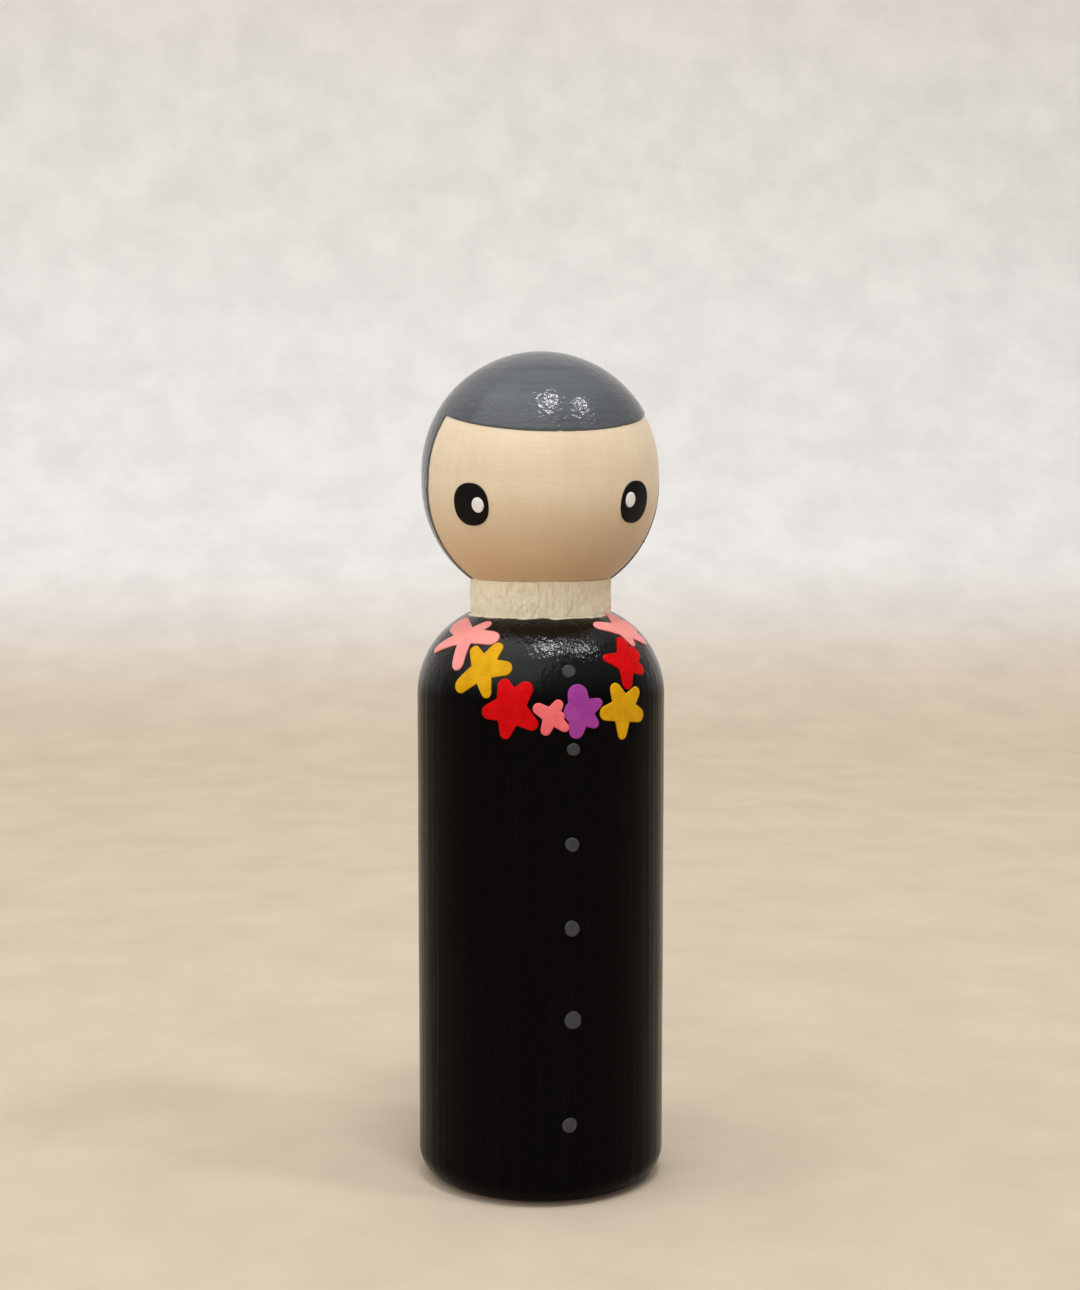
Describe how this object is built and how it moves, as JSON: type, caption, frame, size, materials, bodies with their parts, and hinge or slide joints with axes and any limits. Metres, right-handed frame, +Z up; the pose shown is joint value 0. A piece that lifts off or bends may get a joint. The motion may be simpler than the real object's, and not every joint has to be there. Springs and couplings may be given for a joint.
{
  "type": "peg doll",
  "caption": "Turned wooden peg doll with a ball head on a short neck, a round-shouldered body, a black painted robe with dot buttons, grey hair, dot eyes and a flower garland.",
  "frame": {"origin": "centre of the flat foot, on the surface that the doll stands on", "axes": "+Z up along the turning axis, -Y the way the doll faces, +X to the doll's own left"},
  "size_m": [0.027, 0.0271, 0.0901],
  "materials": {
    "wood": "pale close-grained wood, clear satin varnish on the head, bare and slightly torn at the neck",
    "robe_paint": "black acrylic under satin varnish, with fine brush streaks",
    "hair_paint": "slate-grey acrylic under satin varnish, with brush streaks",
    "eye_paint": "glossy black dab",
    "glint_paint": "white dab",
    "button_paint": "mid-grey dab, slightly see-through",
    "pink_paint": "opaque salmon-pink dab",
    "yellow_paint": "opaque mustard-yellow dab",
    "red_paint": "opaque red dab, glossy",
    "purple_paint": "opaque purple dab"
  },
  "bodies": {
    "root": {"wooden_peg": "wood", "robe_coat": "robe_paint", "hair_coat": "hair_paint", "left_eye": "eye_paint", "right_eye": "eye_paint", "left_eye_glint": "glint_paint", "right_eye_glint": "glint_paint", "button_1": "button_paint", "button_2": "button_paint", "button_3": "button_paint", "button_4": "button_paint", "button_5": "button_paint", "button_6": "button_paint", "flower_1_pink": "pink_paint", "flower_2_yellow": "yellow_paint", "flower_3_red": "red_paint", "flower_4_pink": "pink_paint", "flower_5_purple": "purple_paint", "flower_6_yellow": "yellow_paint", "flower_7_red": "red_paint", "flower_8_pink": "pink_paint", "flower_9_yellow": "yellow_paint", "flower_10_red": "red_paint", "flower_11_purple": "purple_paint", "flower_12_pink": "pink_paint", "flower_13_yellow": "yellow_paint", "flower_14_red": "red_paint"}
  },
  "joints": []
}
